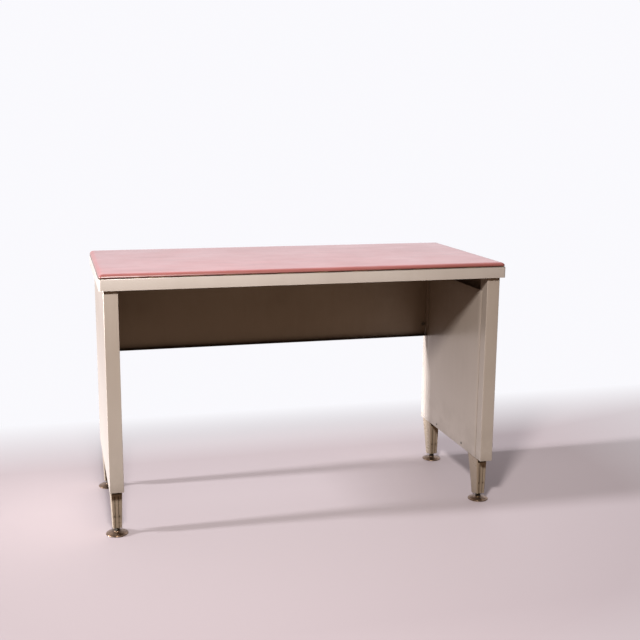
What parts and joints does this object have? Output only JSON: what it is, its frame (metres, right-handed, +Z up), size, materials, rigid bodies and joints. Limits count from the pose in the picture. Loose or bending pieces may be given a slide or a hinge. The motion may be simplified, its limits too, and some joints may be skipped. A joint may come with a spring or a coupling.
{
  "type": "teacher desk",
  "caption": "Steel teacher's desk with a vinyl-covered top, hollow end pedestals, a rear modesty panel and fluted legs on screw levelling glides.",
  "frame": {"origin": "on the floor, under the middle of the top", "axes": "+X to the sitter's right along the length of the top, +Y towards the modesty panel at the back, +Z up"},
  "size_m": [1.2, 0.55, 0.77],
  "materials": {
    "vinyl": "satin, firm smooth vinyl sheet with a rolled edge, dusty salmon",
    "board": "raw particle board, hidden",
    "cream_enamel": "semi-gloss stoving enamel, warm cream beige, lightly worn",
    "leg_enamel": "semi-gloss enamel, greyer olive beige than the body",
    "glide_brass": "darkened brass plating, worn",
    "zinc": "zinc plated"
  },
  "bodies": {
    "root": {"top_cover": "vinyl", "top_core": "board", "top_pan": "cream_enamel", "top_stiffener_front": "cream_enamel", "top_stiffener_rear": "cream_enamel", "modesty_panel": "cream_enamel", "modesty_bracket_left": "cream_enamel", "modesty_bracket_right": "cream_enamel", "left_pedestal_skin": "cream_enamel", "left_pedestal_inner_panel": "cream_enamel", "left_pedestal_top_plate": "cream_enamel", "left_pedestal_bottom_plate": "cream_enamel", "right_pedestal_skin": "cream_enamel", "right_pedestal_inner_panel": "cream_enamel", "right_pedestal_top_plate": "cream_enamel", "right_pedestal_bottom_plate": "cream_enamel", "leg_front_left": "leg_enamel", "leg_front_right": "leg_enamel", "leg_rear_left": "leg_enamel", "leg_rear_right": "leg_enamel", "leg_mount_plate_front_left": "leg_enamel", "leg_mount_plate_front_right": "leg_enamel", "leg_mount_plate_rear_left": "leg_enamel", "leg_mount_plate_rear_right": "leg_enamel", "leg_nut_plate_front_left": "zinc", "leg_nut_plate_front_right": "zinc", "leg_nut_plate_rear_left": "zinc", "leg_nut_plate_rear_right": "zinc", "leg_bolt_front_left_1": "zinc", "leg_bolt_front_left_2": "zinc", "leg_bolt_front_right_1": "zinc", "leg_bolt_front_right_2": "zinc", "leg_bolt_rear_left_1": "zinc", "leg_bolt_rear_left_2": "zinc", "leg_bolt_rear_right_1": "zinc", "leg_bolt_rear_right_2": "zinc", "modesty_bolt_1": "zinc", "modesty_bolt_2": "zinc", "modesty_bolt_3": "zinc", "modesty_bolt_4": "zinc", "left_panel_screw_1": "zinc", "left_panel_screw_2": "zinc", "right_panel_screw_1": "zinc", "right_panel_screw_2": "zinc", "left_top_screw_1": "zinc", "left_top_screw_2": "zinc", "right_top_screw_1": "zinc", "right_top_screw_2": "zinc"},
    "disc_front_left": {"glide_disc_front_left": "glide_brass"},
    "stem_front_left": {"glide_stem_front_left": "zinc"},
    "disc_front_right": {"glide_disc_front_right": "glide_brass"},
    "stem_front_right": {"glide_stem_front_right": "zinc"},
    "disc_rear_left": {"glide_disc_rear_left": "glide_brass"},
    "stem_rear_left": {"glide_stem_rear_left": "zinc"},
    "disc_rear_right": {"glide_disc_rear_right": "glide_brass"},
    "stem_rear_right": {"glide_stem_rear_right": "zinc"}
  },
  "joints": [
    {"name": "glide_front_left_height", "type": "slide", "parent": "root", "child": "disc_front_left", "axis": [0, 0, 1], "range_m": [-0.015, 0.008]},
    {"name": "glide_front_left_screw", "type": "hinge", "parent": "disc_front_left", "child": "stem_front_left", "pos_m": [-0.568, -0.211, 0.02], "axis": [0, 0, 1], "range_deg": [-3601, 1921]},
    {"name": "glide_front_right_height", "type": "slide", "parent": "root", "child": "disc_front_right", "axis": [0, 0, 1], "range_m": [-0.015, 0.008]},
    {"name": "glide_front_right_screw", "type": "hinge", "parent": "disc_front_right", "child": "stem_front_right", "pos_m": [0.568, -0.211, 0.02], "axis": [0, 0, 1], "range_deg": [-3601, 1921]},
    {"name": "glide_rear_left_height", "type": "slide", "parent": "root", "child": "disc_rear_left", "axis": [0, 0, 1], "range_m": [-0.015, 0.008]},
    {"name": "glide_rear_left_screw", "type": "hinge", "parent": "disc_rear_left", "child": "stem_rear_left", "pos_m": [-0.568, 0.19, 0.02], "axis": [0, 0, 1], "range_deg": [-3601, 1921]},
    {"name": "glide_rear_right_height", "type": "slide", "parent": "root", "child": "disc_rear_right", "axis": [0, 0, 1], "range_m": [-0.015, 0.008]},
    {"name": "glide_rear_right_screw", "type": "hinge", "parent": "disc_rear_right", "child": "stem_rear_right", "pos_m": [0.568, 0.19, 0.02], "axis": [0, 0, 1], "range_deg": [-3601, 1921]}
  ],
  "couplings": [
    {"joint": "glide_front_left_screw", "follows": "glide_front_left_height", "rad_per_m": 4188.8},
    {"joint": "glide_front_right_screw", "follows": "glide_front_right_height", "rad_per_m": 4188.8},
    {"joint": "glide_rear_left_screw", "follows": "glide_rear_left_height", "rad_per_m": 4188.8},
    {"joint": "glide_rear_right_screw", "follows": "glide_rear_right_height", "rad_per_m": 4188.8}
  ]
}
